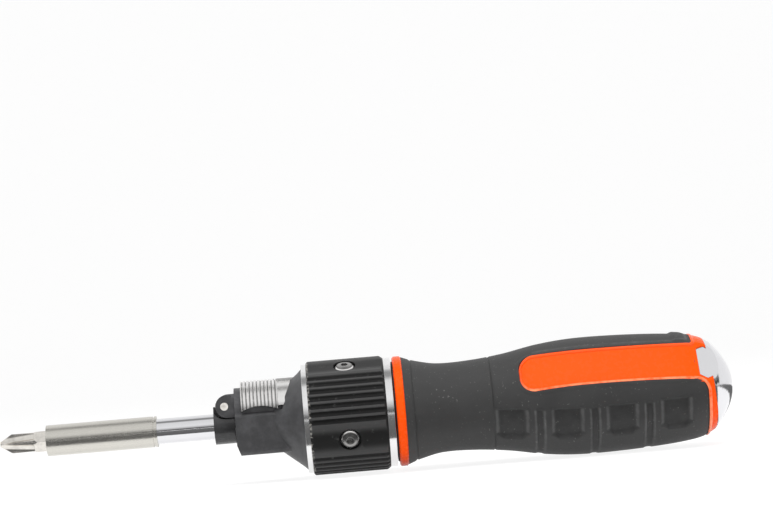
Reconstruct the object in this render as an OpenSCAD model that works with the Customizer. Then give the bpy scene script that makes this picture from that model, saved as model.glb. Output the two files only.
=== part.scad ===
// Ratcheting screwdriver with a folding nose.
// The tool's axis is X, the bit points to -X, and the thumb slide is on top (+Z).
// The origin is the centre of the bit holder's mouth.

/* [Bit] */
// Across the flats of the bit's hexagon shank
bit_flats = 6.35; // [5:0.05:7.5]
// How far the bit stands out of the holder
bit_reach = 14.8; // [12:0.1:20]
// Length of the bit's shank inside the holder
bit_seat = 10.2; // [8:0.1:12]
// Diameter of the bit's turned blade
bit_blade_d = 6; // [4.5:0.1:6.2]
// Diameter of the flat at the bit's point
bit_point_d = 1.6; // [1:0.1:2.4]
// Length of the bit's cone
bit_cone_length = 3.6; // [2.5:0.1:5]

/* [Holder and shaft] */
// Diameter of the bit holder
holder_d = 9.8; // [9:0.1:13]
// Length of the bit holder
holder_length = 34.9; // [30:0.1:45]
// Diameter of the drive shaft
shaft_d = 8; // [6:0.1:8.6]
// Length of shaft that shows between the holder and the nose
shaft_show = 18.2; // [8:0.1:40]
// Diameter of the holder's magnet
magnet_d = 5.4; // [4:0.1:6]
// Thickness of the holder's magnet
magnet_t = 3; // [2:0.1:5]

/* [Folding nose] */
// Diameter of the nose
nose_d = 11.5; // [10.5:0.1:14]
// Length of the nose
nose_length = 6.6; // [6:0.1:8]
// Diameter of the hinge pin
pin_d = 2.5; // [2:0.1:2.8]
// Height of the hinge pin above the tool's axis
pin_rise = 6.2; // [6:0.05:7]
// Distance of the hinge pin behind the nose's front
pin_setback = 3.7; // [3.5:0.1:3.7]
// Radius of the hinge's lug and ears
ear_r = 3.6; // [3.2:0.1:3.7]
// How far the ears' round fronts are centred behind the pin
ear_shift = 0.8; // [0:0.1:1]
// Thickness of the nose's lug
lug_t = 5.1; // [4:0.1:6]
// Thickness of each hinge washer
hinge_washer_t = 0.4; // [0.3:0.05:0.6]

/* [Head] */
// Length of the head's square block
block_length = 15; // [13:0.1:20]
// How far the thumb slide stands out of the block's sides
slide_proud = 0.9; // [0.4:0.1:1.4]
// Depth of the block below the tool's axis
block_drop = 9.6; // [8:0.1:11]
// Height of the block's shelf above the tool's axis
shelf_rise = 3.8; // [3:0.1:4.1]
// Corner radius of the block
block_corner = 1.6; // [0.8:0.1:3]
// Length of the flare between the block and the collar
flare_length = 6.7; // [6:0.1:10]
// Length of the chamfer on the block's lower front edge
chamfer_length = 1.1; // [0.6:0.1:3]
// Height of that chamfer
chamfer_height = 3.3; // [1:0.1:5]

/* [Thumb slide] */
// Depth of the slide's bar below the skin of the barrel inside the collar
bar_cover = 1.35; // [1.1:0.05:1.7]
// Thickness of the slide's shell
slide_t = 1.8; // [1.4:0.1:2]
// Length of the slide's ribbed part
slide_length = 11.6; // [9:0.1:12]
// Travel of the slide each way
slide_travel = 2; // [1:0.1:2.2]
// Number of ribs across the slide
slide_ribs = 10; // [5:1:14]

/* [Collar] */
// Diameter of the collar over its ribs
collar_d = 36; // [35:0.1:40]
// Length of the collar
collar_length = 24.4; // [22:0.1:30]
// Number of grooves between two lands
groove_count = 7; // [3:1:7]
// Angle from one groove to the next
groove_step = 8; // [6:0.5:8]
// Diameter of a collar screw's head
screw_head_d = 6; // [4.5:0.1:6.4]
// Thread diameter of a collar screw
screw_d = 3; // [2:0.1:3.5]
// How far the two bright rings stand below the collar's ribs
trim_inset = 0.8; // [0.3:0.05:1.2]
// Width of the bright ring in front of the collar
trim_w = 1.6; // [1.2:0.1:2]
// Width of the bright ring behind the collar
rear_trim_w = 2.2; // [1.6:0.1:2.6]

/* [Ratchet] */
// Room between the ratchet wheel and the wall of its chamber
wheel_room = 4.2; // [4.2:0.1:4.6]
// Depth of a ratchet tooth
tooth_depth = 1; // [0.8:0.05:1.1]
// Width of the ratchet wheel
wheel_w = 7.6; // [6:0.1:8]
// Angle that the pawl rocks each way
pawl_rock = 11; // [10:0.5:11.5]

/* [Handle] */
// Width of the orange ring in front of the grip
ring_w = 2.8; // [2:0.1:5]
// How far the orange ring stands below the collar's ribs
ring_inset = 0.6; // [0.2:0.05:1.4]
// Length of the grip from the orange ring to its tail
grip_length = 97.7; // [88:0.1:115]
// Largest diameter of the grip
grip_d = 36.8; // [35:0.1:40]
// Thickness of the rubber
rubber_t = 2.2; // [1.6:0.1:2.6]
// Width of a side panel
panel_w = 14.6; // [10:0.1:16]
// Roll of a side panel from the top of the grip
panel_roll = 57; // [52:1:62]
// Distance of a side panel's front end behind the orange ring
panel_start = 36.2; // [30:0.1:45]
// Length of the steel cap's dome
cap_dome = 6.8; // [4:0.1:8]

/* [Hidden] */
$fn = 72;

// One overrun serves every cut, and three clearances serve every fit
over = 1;
press_gap = 0.02;
turn_gap = 0.05;
free_gap = 0.3;

// Bit
bit_hex_show = 2.9;
bit_neck = 1.2;
bit_flute_r = 2.1;
bit_flute_wall = 0.75;
bit_flute_lean = 7;
socket_slack = 0.06;
bit_corner_r = bit_flats / 2 / cos(30);
bit_hex_x = -bit_hex_show;

// Holder
holder_groove_w = 0.5;
holder_groove_depth = 0.3;
holder_rim = 0.7;
shaft_seat = 10;
magnet_x = bit_seat + turn_gap;
shaft_x = holder_length - shaft_seat;

// Nose and its hinge
nose_x = holder_length + shaft_show;
pin_x = nose_x + pin_setback;
nose_end = nose_x + nose_length;
shaft_blind = 0.9;
shaft_end = nose_end - shaft_blind;
washer_gap = turn_gap;
ear_in = lug_t / 2 + hinge_washer_t + 2 * washer_gap;
ear_out = nose_d / 2;
ear_sweep = ear_r + free_gap;
lug_r = nose_end - pin_x;
pin_proud = 0.15;
pin_dimple_r = 0.45;
pin_dimple_depth = 0.3;
hinge_washer_r = 3;

// Head
block_x = nose_end + free_gap;
block_end = block_x + block_length;
flare_end = block_end + flare_length;
flare_inset = 1.8;
flare_r = collar_d / 2 - flare_inset;
flare_rim = 1.2;
collar_wall = 3.05;
barrel_wall = 3.15;
barrel_r = collar_d / 2 - collar_wall;
barrel_in = barrel_r - barrel_wall;
barrel_end = flare_end + trim_w + collar_length + rear_trim_w;
front_wall = 7.3;
wall_x = flare_end + front_wall;
journal_r = 3.5;
journal_reach = 13;
journal_x = wall_x - journal_reach;

// Thumb slide and its bar
slide_lift = 0.4;
slide_z = shelf_rise + slide_lift;
slide_setback = 2.2;
slide_x = block_x + slide_setback;
slide_end = slide_x + slide_length;
bar_top = barrel_r - bar_cover;
slide_r = bar_top - slide_z;
slide_in = slide_r - slide_t;
block_w = 2 * (slide_r - slide_proud);
rail_gap = 0.2;
rail_r = slide_in - rail_gap;
skirt_lift = 0.1;
slide_skirt = slide_z + skirt_lift;
rib_depth = 0.35;
rib_share = 0.45;
tongue_length = 4.2;
tongue_drop = 0.6;
arch_rise = 1.3;
bar_w = 5.6;
bar_t = 1.2;
bar_low = bar_top - bar_t;
bar_gap = 0.1;
bar_side_gap = 0.25;

// Ratchet
tooth_count = 24;
washer_t = 1;
wheel_r = barrel_in - wheel_room;
wheel_x = wall_x + washer_t + free_gap;
wheel_end = wheel_x + wheel_w;
seat_r = 5;
rear_journal_r = 4.5;
pawl_angle = 30;
pawl_lift = 2.4;
pawl_z = wheel_r + pawl_lift;
pawl_boss_r = 1.5;
pawl_pin_r = 1;
pawl_tip_gap = 0.25;
pawl_tip_half = 0.1;
pawl_flank = 0.8;
pawl_nose_h = 1.75;
pawl_side_gap = 0.2;
peg_r = 0.7;
peg_top = bar_top - free_gap;
peg_reach = bar_top - bar_t / 2 - pawl_z;
peg_x = (wheel_x + wheel_end) / 2;
peg_swing = peg_reach * sin(pawl_rock);
slot_gap = 0.28;
slot_half = peg_r + slot_gap;
slot_run = slide_travel + slot_gap;
bar_end = peg_x + slot_run + slot_half + over;
cover_gap = 0.5;
cover_x = wheel_end + cover_gap;
cover_t = 3;
clip_t = 1;
clip_bite = 0.5;
clip_w = 1.7;
clip_mouth = 5;
washer_r = 7;
spindle_hex = 10;
spindle_tail = grip_length * 0.39;

// Detent under the bar
detent_setback = 2.4;
detent_x = flare_end + detent_setback;
ball_r = 1;
ball_sink = 0.6;
ball_z = bar_low - ball_sink;
spring_r = 0.75;
spring_wire = 0.16;
spring_turns = 5;
spring_base = 5.2;
spring_low = ball_z - spring_base;
detent_hole_r = ball_r + turn_gap;
dimple_r = 1.15;
dimple_lift = 0.25;

// Collar and its screws
collar_x = flare_end + trim_w;
collar_end = collar_x + collar_length;
collar_mid = (collar_x + collar_end) / 2;
collar_bore = barrel_r + press_gap;
land_count = 4;
land_roll = 24;
land_depth = 0.6;
groove_r = 0.95;
groove_depth = 0.75;
collar_chamfer = 0.5;
collar_rear_chamfer = 1.1;
collar_rear_fall = 0.8;
recess_gap = 0.5;
recess_depth = 0.9;
head_h = 1.3;
head_socket_r = 1.15;
head_socket_depth = 0.8;
screw_tip_r = barrel_in + free_gap;
land_r = collar_d / 2 - land_depth;

// Handle
seal_gap = 0.3;
seal_t = 0.4;
seal_lap = 0.85;
seal_r = barrel_r + seal_lap;
ring_x = barrel_end + seal_gap + seal_t;
grip_x = ring_x + ring_w;
grip_end = grip_x + grip_length;
grip_r = grip_d / 2;
boss_r = barrel_in - free_gap;
boss_reach = 4.5;
boss_x = barrel_end - boss_reach;
grip_places = 44;
// Places along the grip, and the radius there, as shares of its length and of its largest radius
grip_shares = [
    [0, 0.925], [0.04, 0.85], [0.115, 0.768], [0.225, 0.777], [0.33, 0.838], [0.44, 0.945],
    [0.55, 1], [0.68, 1], [0.83, 0.962], [0.93, 0.905], [0.97, 0.848], [1, 0.762]
];
panel_flat_share = 0.915;
panel_corner = 5;
strip_setback = 6.1;
strip_end = grip_end - strip_setback;
lower_setback = 2.8;
lower_end = grip_end - lower_setback;
seam_gap = 0.1;
strip_roll = panel_roll - asin(panel_w / 2 / grip_r);
bump_length = 7;
bump_rise = 0.55;
lip_setback = 2.6;
lip_x = grip_x + lip_setback;
lip_w = 0.4;
lip_depth = 0.3;
pad_pitch = grip_length * 0.175;
pad_count = 4;
pad_w = 8.6;
pad_h = 10.4;
pad_roll = 116.5;
pad_depth = 0.75;
pad_bevel = 2.6;
pad_setback = 13.4;
pad_last = grip_end - pad_setback;
finger_w = 4.4;
finger_depth = 0.35;
finger_top = -1;
cap_skirt = 5.1;
cap_shoulder = 2.7;
cap_shell = 0.55;
cap_lip = 0.4;
cap_cone = 0.3;
cap_seam_setback = 0.7;
cap_seam_slant = 5;
facet_lean = 17;
facet_start = 7.5;

// Value of the grip's profile at a share along it, by a smooth curve through the places above
function span_at(t, i = 0) = i >= len(grip_shares) - 2 || t <= grip_shares[i + 1][0] ? i : span_at(t, i + 1);
function slope_at(i) =
    let (a = grip_shares[max(i - 1, 0)], b = grip_shares[min(i + 1, len(grip_shares) - 1)])
    (b[1] - a[1]) / (b[0] - a[0]);
function blend_at(t, i) =
    let (a = grip_shares[i], b = grip_shares[i + 1], w = b[0] - a[0], u = (t - a[0]) / w)
    (2 * u ^ 3 - 3 * u ^ 2 + 1) * a[1] + (u ^ 3 - 2 * u ^ 2 + u) * w * slope_at(i)
    + (3 * u ^ 2 - 2 * u ^ 3) * b[1] + (u ^ 3 - u ^ 2) * w * slope_at(i + 1);
function grip_at(x) =
    let (t = min(max((x - grip_x) / grip_length, 0), 1))
    grip_r * blend_at(t, span_at(t));
// Outline of the grip between two places, drawn in by an inset
function grip_line(from, to, inset) = [
    for (i = [0:grip_places]) let (x = from + (to - from) * i / grip_places) [x, grip_at(x) - inset]
];

// A solid turned about the tool's axis from points of place and radius
module turned(points) {
    rotate([0, 90, 0]) rotate_extrude() polygon([for (p = points) [p[1], p[0]]]);
}

// A round bar along the tool's axis
module rod(from, to, r) {
    translate([from, 0, 0]) rotate([0, 90, 0]) cylinder(r = r, h = to - from);
}

// A ring along the tool's axis
module ring(from, to, outer, inner) {
    difference() {
        rod(from, to, outer);
        rod(from - over, to + over, inner);
    }
}

// A round bar across the tool at a place and height
module cross_rod(x, z, half, r) {
    translate([x, half, z]) rotate([90, 0, 0]) cylinder(r = r, h = 2 * half);
}

// A box given by its two corners
module block(low, high) {
    translate(low) cube(high - low);
}

// A hexagon bar along the tool's axis
module hex_bar(from, to, flats) {
    translate([from, 0, 0]) rotate([0, 90, 0]) cylinder(r = flats / 2 / cos(30), h = to - from, $fn = 6);
}

module phillips_bit() {
    neck_x = bit_hex_x - bit_neck;
    blade_r = bit_blade_d / 2;
    color("silver") difference() {
        union() {
            turned([
                [-bit_reach, 0], [-bit_reach, bit_point_d / 2],
                [-bit_reach + bit_cone_length, blade_r], [neck_x, blade_r],
                [bit_hex_x, blade_r], [bit_hex_x, 0]
            ]);
            intersection() {
                hex_bar(neck_x, bit_seat, bit_flats);
                turned([
                    [neck_x, 0], [neck_x, blade_r], [bit_hex_x, bit_corner_r],
                    [bit_seat - bit_neck / 2, bit_corner_r], [bit_seat, blade_r], [bit_seat, 0]
                ]);
            }
        }
        for (a = [0:3]) rotate([45 + 90 * a, 0, 0])
            translate([-bit_reach, 0, bit_flute_r + bit_flute_wall]) rotate([0, 90 - bit_flute_lean, 0])
            translate([0, 0, -bit_reach / 2]) cylinder(r = bit_flute_r, h = 2 * bit_reach);
    }
}

module bit_holder() {
    groove_end = holder_length - holder_rim;
    groove_x = groove_end - holder_groove_w;
    color("gainsboro") difference() {
        rod(0, holder_length, holder_d / 2);
        hex_bar(-over, bit_seat, bit_flats + 2 * socket_slack);
        rod(0, magnet_x + magnet_t + press_gap, magnet_d / 2 + press_gap);
        rod(shaft_x - turn_gap, holder_length + over, shaft_d / 2 + press_gap);
        ring(groove_x, groove_end, holder_d, holder_d / 2 - holder_groove_depth);
    }
}

module holder_magnet() {
    color("dimgray") rod(magnet_x, magnet_x + magnet_t, magnet_d / 2);
}

module drive_shaft() {
    color("silver") rod(shaft_x, shaft_end, shaft_d / 2);
}

// The lug's side view: a round end at the pin, and a web down to the nose
module lug_side(r, x_front, x_back) {
    translate([pin_x, pin_rise]) circle(r = r);
    translate([x_front, 0]) square([x_back - x_front, pin_rise]);
}

module nose_knuckle() {
    color("#2b2b2b") difference() {
        union() {
            difference() {
                rod(nose_x, nose_end, nose_d / 2);
                for (s = [-1, 1]) {
                    translate([0, s * (lug_t / 2 + nose_d), 0]) {
                        cross_rod(pin_x, pin_rise, nose_d, ear_sweep);
                        block(
                            [pin_x, -nose_d, pin_rise - ear_sweep],
                            [nose_end + over, nose_d, pin_rise + over]
                        );
                    }
                }
            }
            intersection() {
                translate([0, lug_t / 2, 0]) rotate([90, 0, 0]) linear_extrude(lug_t)
                    lug_side(lug_r, nose_x, nose_end);
                block([nose_x, -nose_d, -nose_d], [nose_end, nose_d, nose_d]);
            }
        }
        rod(nose_x - over, shaft_end + press_gap, shaft_d / 2 + press_gap);
        cross_rod(pin_x, pin_rise, nose_d, pin_d / 2 + turn_gap);
    }
}

module pivot_pin() {
    half = ear_out + pin_proud;
    color("white") difference() {
        cross_rod(pin_x, pin_rise, half, pin_d / 2);
        for (s = [-1, 1]) translate([0, s * (half + over - pin_dimple_depth), 0])
            cross_rod(pin_x, pin_rise, over, pin_dimple_r);
    }
}

module pivot_washers() {
    mid = lug_t / 2 + washer_gap + hinge_washer_t / 2;
    color("silver") for (s = [-1, 1]) translate([0, s * mid, 0]) difference() {
        cross_rod(pin_x, pin_rise, hinge_washer_t / 2, hinge_washer_r);
        cross_rod(pin_x, pin_rise, over, pin_d / 2 + press_gap);
    }
}

// The two ears that carry the nose, joined to the block
module ears() {
    for (s = [-1, 1]) translate([0, s * (ear_in + ear_out) / 2, 0]) intersection() {
        union() {
            cross_rod(pin_x + ear_shift, pin_rise, (ear_out - ear_in) / 2, ear_r);
            block(
                [pin_x + ear_shift, -(ear_out - ear_in) / 2, pin_rise - ear_r],
                [block_x + over, (ear_out - ear_in) / 2, pin_rise + ear_r]
            );
        }
        block([nose_x, -nose_d, -nose_d], [block_x + over, nose_d, 2 * nose_d]);
    }
}

// The block's end view, with its four corners rounded
module block_end_view() {
    c = block_corner;
    w = block_w / 2;
    translate([-block_drop + c, -w]) square([block_drop + shelf_rise - 2 * c, block_w]);
    translate([-block_drop, -w + c]) square([block_drop + shelf_rise, block_w - 2 * c]);
    for (z = [-block_drop + c, shelf_rise - c], s = [-1, 1]) translate([z, s * (w - c)]) circle(r = c);
}

// The round rail under the thumb slide
module rail(r, from, to) {
    translate([from, 0, slide_z]) rotate([0, 90, 0]) cylinder(r = r, h = to - from);
}

// What the slide sweeps inside the head, with room round it
module slide_path(outer, inner, from, to, low) {
    difference() {
        rail(outer, from, to);
        rail(inner, from - over, to + over);
        block([from - over, -2 * outer, -2 * outer], [to + over, 2 * outer, low]);
    }
}

module head_body() {
    rim_x = flare_end - flare_rim;
    color("#303030") difference() {
        union() {
            ears();
            difference() {
                translate([block_x, 0, 0]) rotate([0, 90, 0]) mirror([1, 0, 0])
                    linear_extrude(block_length + flare_length / 2) block_end_view();
                rotate([90, 0, 0]) linear_extrude(2 * block_w, center = true) polygon([
                    [block_x - over, -block_drop - over], [block_x + chamfer_length, -block_drop - over],
                    [block_x + chamfer_length, -block_drop], [block_x, -block_drop + chamfer_height],
                    [block_x - over, -block_drop + chamfer_height]
                ]);
            }
            intersection() {
                rail(rail_r, block_x, flare_end);
                block([block_x, -block_w, 0], [flare_end, block_w, 2 * block_w]);
            }
            turned([
                [block_end - flare_length / 2, 0], [block_end - flare_length / 2, block_drop - block_corner],
                [block_end - flare_rim, block_drop], [rim_x, flare_r - flare_rim], [flare_end, flare_r],
                [flare_end, 0]
            ]);
            rod(flare_end - over, barrel_end, barrel_r);
        }
        // Ratchet chamber, journal bore and the washer's place
        rod(wall_x, barrel_end + over, barrel_in);
        rod(journal_x, wall_x + over, journal_r + turn_gap);
        ring(
            cover_x + cover_t, cover_x + cover_t + clip_t + 2 * turn_gap,
            barrel_in + clip_bite + turn_gap, barrel_in / 2
        );
        // Hinge pin and pawl pin
        cross_rod(pin_x, pin_rise, nose_d, pin_d / 2 + press_gap);
        translate([0, 0, pawl_z]) rod(wall_x - over * 2, wall_x + over, pawl_pin_r + press_gap);
        // Paths of the thumb slide, its tongue and its bar
        slide_path(
            slide_r + free_gap, rail_r,
            block_x - over, slide_end + slide_travel + free_gap, slide_skirt - free_gap
        );
        slide_path(
            slide_r - tongue_drop + free_gap, rail_r,
            slide_end - over, slide_end + tongue_length + slide_travel + free_gap,
            slide_skirt + over - free_gap
        );
        block(
            [slide_end, -bar_w / 2 - bar_side_gap, bar_low - bar_gap],
            [bar_end + slide_travel + free_gap, bar_w / 2 + bar_side_gap, 2 * barrel_r]
        );
        block(
            [peg_x - peg_r - free_gap, -peg_r - peg_swing - free_gap, pawl_z],
            [peg_x + peg_r + free_gap, peg_r + peg_swing + free_gap, bar_top]
        );
        translate([detent_x, 0, spring_low]) cylinder(r = detent_hole_r, h = 2 * barrel_r);
        collar_places() translate([0, 0, screw_tip_r - over])
            cylinder(r = screw_d / 2 + press_gap, h = barrel_r);
    }
}

module selector_slide() {
    rib_pitch = slide_length / slide_ribs;
    slot_lean = atan(peg_swing / slide_travel);
    arch_r = slide_length ^ 2 / (8 * arch_rise) + arch_rise / 2;
    color("lightgray") difference() {
        union() {
            slide_path(slide_r, slide_in, slide_x, slide_end, slide_skirt);
            slide_path(
                slide_r - tongue_drop, slide_in,
                slide_end - over, slide_end + tongue_length, slide_skirt + over
            );
            block(
                [slide_end - over, -bar_w / 2, bar_low],
                [bar_end, bar_w / 2, bar_top]
            );
        }
        // Ribs across the back
        for (i = [0:slide_ribs - 1]) {
            x = slide_x + (i + 0.5) * rib_pitch;
            slide_path(
                slide_r + over, slide_r - rib_depth,
                x - rib_pitch * rib_share / 2, x + rib_pitch * rib_share / 2, 0
            );
        }
        // Arch in the skirt
        translate([0, 0, slide_skirt + arch_rise - arch_r])
            cross_rod((slide_x + slide_end) / 2, 0, 2 * slide_r, arch_r);
        // Slanted slot that swings the pawl's peg
        translate([peg_x, 0, bar_low - over]) rotate([0, 0, slot_lean]) {
            block([-slot_run, -slot_half, 0], [slot_run, slot_half, bar_t + 2 * over]);
            for (s = [-1, 1]) translate([s * slot_run, 0, 0]) cylinder(r = slot_half, h = bar_t + 2 * over);
        }
        // Groove and three dimples for the detent ball
        translate([0, 0, ball_z])
            rod(detent_x - slide_travel - ball_r, detent_x + slide_travel + ball_r, detent_hole_r);
        for (s = [-1:1]) translate([detent_x + s * slide_travel, 0, ball_z + dimple_lift])
            sphere(r = dimple_r);
    }
}

module detent_ball() {
    color("silver") translate([detent_x, 0, ball_z]) sphere(r = ball_r);
}

// A coil spring as one swept tube, standing on a point
module coil(r, wire, turns, height) {
    sides = 6;
    steps = 12;
    rings = turns * steps;
    points = [
        for (i = [0:rings], j = [0:sides - 1])
            let (a = 360 * i / steps, b = 360 * j / sides, q = r + wire * cos(b))
            [q * cos(a), q * sin(a), height * i / rings + wire * sin(b)]
    ];
    walls = [
        for (i = [0:rings - 1], j = [0:sides - 1])
            let (k = (j + 1) % sides, a = i * sides, b = a + sides)
            each [[a + j, a + k, b + k], [a + j, b + k, b + j]]
    ];
    ends = [
        for (j = [1:sides - 2], a = [rings * sides]) each [[0, j + 1, j], [a, a + j, a + j + 1]]
    ];
    polyhedron(points, concat(walls, ends));
}

module detent_spring() {
    rise = ball_z - ball_r - spring_low - 3 * spring_wire;
    color("silver") translate([detent_x, 0, spring_low + spring_wire])
        coil(spring_r, spring_wire, spring_turns, rise);
}

module trim_ring(x, w) {
    color("whitesmoke") ring(x, x + w, collar_d / 2 - trim_inset, barrel_r + press_gap);
}

module front_trim_ring() {
    trim_ring(flare_end, trim_w);
}

module rear_trim_ring() {
    trim_ring(collar_end, rear_trim_w);
}

// Puts its children at each of the collar's lands, with Z outwards
module collar_places() {
    for (i = [0:land_count - 1]) rotate([land_roll + 360 / land_count * i, 0, 0])
        translate([collar_mid, 0, 0]) children();
}

module grip_collar() {
    crest = collar_d / 2;
    color("#1c1c1c") difference() {
        turned([
            [collar_x, collar_bore], [collar_x, crest - collar_chamfer],
            [collar_x + collar_chamfer, crest], [collar_end - collar_rear_chamfer, crest],
            [collar_end, crest - collar_rear_fall], [collar_end, collar_bore]
        ]);
        for (i = [0:land_count - 1]) rotate([land_roll + 360 / land_count * i, 0, 0]) {
            block([collar_x - over, -crest, land_r], [collar_end + over, crest, crest + over]);
            for (g = [0:groove_count - 1])
                rotate([180 / land_count + (g - (groove_count - 1) / 2) * groove_step, 0, 0])
                translate([0, 0, crest + groove_r - groove_depth])
                rod(collar_x - over, collar_end + over, groove_r);
        }
        collar_places() {
            translate([0, 0, land_r - recess_depth]) cylinder(d = screw_head_d + 2 * recess_gap, h = crest);
            cylinder(r = screw_d / 2 + turn_gap, h = crest);
        }
    }
}

module collar_screws() {
    head_z = land_r - recess_depth;
    head_r = screw_head_d / 2;
    color("silver") collar_places() difference() {
        union() {
            translate([0, 0, screw_tip_r]) cylinder(r = screw_d / 2, h = head_z - screw_tip_r + over / 2);
            translate([0, 0, head_z]) rotate_extrude() polygon([
                [0, 0], [head_r, 0], [head_r, head_h * 0.35], [head_r * 0.8, head_h * 0.8],
                [head_r * 0.5, head_h], [0, head_h]
            ]);
        }
        translate([0, 0, head_z + head_h - head_socket_depth])
            cylinder(r = head_socket_r, h = over * 2, $fn = 6);
    }
}

module ratchet_wheel() {
    root = wheel_r - tooth_depth;
    step = 180 / tooth_count;
    color("gray") difference() {
        translate([wheel_x, 0, 0]) rotate([0, 90, 0]) linear_extrude(wheel_w) polygon([
            for (i = [0:2 * tooth_count - 1])
                (i % 2 == 0 ? root : wheel_r) * [cos(i * step), sin(i * step)]
        ]);
        rod(wheel_x - over, wheel_end + over, seat_r + press_gap);
    }
}

// One arm of the pawl in end view, as it lies when it is in the teeth, then rocked back to rest
module pawl_arm() {
    root = wheel_r - tooth_depth;
    tip = root + pawl_tip_gap;
    base = tip + pawl_nose_h;
    half = pawl_tip_half + pawl_flank * pawl_nose_h;
    // Corners of the arm's nose, and of its root on the boss
    along = [sin(pawl_angle), cos(pawl_angle)];
    side = [cos(pawl_angle), -sin(pawl_angle)];
    pivot = [0, pawl_z];
    translate(pivot) rotate(pawl_rock) translate(-pivot) polygon([
        tip * along - pawl_tip_half * side, tip * along + pawl_tip_half * side,
        base * along + half * side, pivot + pawl_boss_r * [cos(pawl_angle), sin(pawl_angle)],
        pivot, base * along - half * side
    ]);
}

module ratchet_pawl() {
    width = wheel_w - 2 * pawl_side_gap;
    color("gray") difference() {
        union() {
            translate([wheel_x + pawl_side_gap, 0, 0]) rotate([90, 0, 90]) linear_extrude(width) {
                pawl_arm();
                mirror([1, 0]) pawl_arm();
                translate([0, pawl_z]) circle(r = pawl_boss_r);
            }
            translate([peg_x, 0, pawl_z]) cylinder(r = peg_r, h = peg_top - pawl_z);
        }
        translate([0, 0, pawl_z]) rod(wheel_x - over, wheel_end + over, pawl_pin_r + turn_gap);
    }
}

module pawl_pin() {
    color("silver") translate([0, 0, pawl_z])
        rod(wall_x - over * 2 + turn_gap, cover_x + cover_t - turn_gap, pawl_pin_r);
}

module ratchet_cover() {
    color("darkgray") difference() {
        rod(cover_x, cover_x + cover_t, barrel_in - press_gap);
        rod(cover_x - over, cover_x + cover_t + over, rear_journal_r + turn_gap);
        translate([0, 0, pawl_z]) rod(cover_x - over, cover_x + cover_t + over, pawl_pin_r + press_gap);
    }
}

module cover_circlip() {
    x = cover_x + cover_t + turn_gap;
    r = barrel_in + clip_bite;
    color("silver") difference() {
        ring(x, x + clip_t, r, r - clip_w);
        block([x - over, -clip_mouth / 2, -2 * r], [x + clip_t + over, clip_mouth / 2, 0]);
    }
}

module thrust_washer() {
    color("tan") ring(wall_x, wall_x + washer_t, washer_r, journal_r + turn_gap);
}

module handle_spindle() {
    shoulder = wheel_x - turn_gap;
    color("silver") union() {
        rod(journal_x + free_gap, wheel_end, journal_r);
        rod(wheel_x, wheel_end, seat_r);
        ring(wall_x + washer_t + turn_gap, shoulder, seat_r + turn_gap, journal_r - over);
        rod(wheel_end - over, ring_x, rear_journal_r);
        hex_bar(ring_x - over, ring_x + spindle_tail, spindle_hex);
    }
}

module running_seal() {
    color("#181818") ring(barrel_end + seal_gap, barrel_end + seal_gap + seal_t, seal_r, boss_r + press_gap);
}

module handle_ring() {
    edge = ring_w / 6;
    r = collar_d / 2 - ring_inset;
    color("orangered") difference() {
        turned([
            [ring_x, 0], [ring_x, r - edge], [ring_x + edge, r],
            [grip_x - edge, r], [grip_x, r - edge], [grip_x, 0]
        ]);
        rod(ring_x - over, grip_x + over, boss_r + press_gap);
    }
}

// The side panels' outline, pushed outwards through the grip; grow widens it
module panel_zone(grow) {
    w = panel_w / 2 + grow;
    c = panel_corner + grow;
    x = grip_x + panel_start - grow;
    for (s = [-1, 1]) rotate([s * panel_roll, 0, 0]) linear_extrude(2 * grip_r) {
        translate([x + c, -w]) square([grip_end - x - c + over, 2 * w]);
        translate([x, -w + c]) square([grip_end - x, 2 * (w - c)]);
        for (t = [-1, 1]) translate([x + c, t * (w - c)]) circle(r = c);
    }
}

// All that lies outside the flat faces of the two panels: they follow the grip's line and are straight across
// it, and at the tail they lean inwards and bare the steel cap
module outside_panels() {
    from = grip_x + panel_start - over;
    to = grip_end - facet_start;
    end = grip_end + cap_dome + over;
    end_h = grip_at(to) * panel_flat_share - (end - to) * tan(facet_lean);
    for (s = [-1, 1]) rotate([s * panel_roll, 0, 0]) translate([0, grip_r, 0]) rotate([90, 0, 0])
        linear_extrude(2 * grip_r) polygon(concat(
            [[from, 2 * grip_r]], [for (p = grip_line(from, to, 0)) [p[0], p[1] * panel_flat_share]],
            [[end, end_h], [end, 2 * grip_r]]
        ));
}

// The steel cap's skirt in the core, grown by a clearance
module cap_skirt_body(grow) {
    shoulder = grip_end - cap_shoulder;
    r = grip_at(shoulder) - cap_shell + grow;
    end_r = grip_at(grip_end) - cap_lip + grow;
    x = grip_end - cap_skirt - grow;
    turned([[x, 0], [x, r + cap_cone], [shoulder, r], [grip_end, end_r], [grip_end, 0]]);
}

// All that lies behind the slanted seam between the core and the cap
module behind_seam(grow) {
    translate([grip_end - cap_seam_setback - grow, 0, 0]) rotate([0, -cap_seam_slant, 0])
        translate([0, -2 * grip_r, -2 * grip_r]) cube(4 * grip_r);
}

module handle_core() {
    inner = rubber_t + press_gap;
    color("#f0531f") difference() {
        union() {
            turned(concat([[grip_x, 0]], grip_line(grip_x, grip_end, inner), [[grip_end, 0]]));
            rod(boss_x, grip_x + over, boss_r);
            turned(concat([[lower_end, 0]], grip_line(lower_end, grip_end, 0), [[grip_end, 0]]));
            intersection() {
                turned(concat([[strip_end, 0]], grip_line(strip_end, grip_end, 0), [[grip_end, 0]]));
                top_sector(over);
            }
            intersection() {
                panel_zone(0);
                turned(concat([[grip_x, 0]], grip_line(grip_x, grip_end, 0), [[grip_end, 0]]));
            }
        }
        outside_panels();
        rod(boss_x - over, ring_x, rear_journal_r + free_gap);
        hex_bar(ring_x - over, ring_x + spindle_tail + press_gap, spindle_hex + 2 * press_gap);
        cap_skirt_body(turn_gap);
        behind_seam(turn_gap);
    }
}

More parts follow.
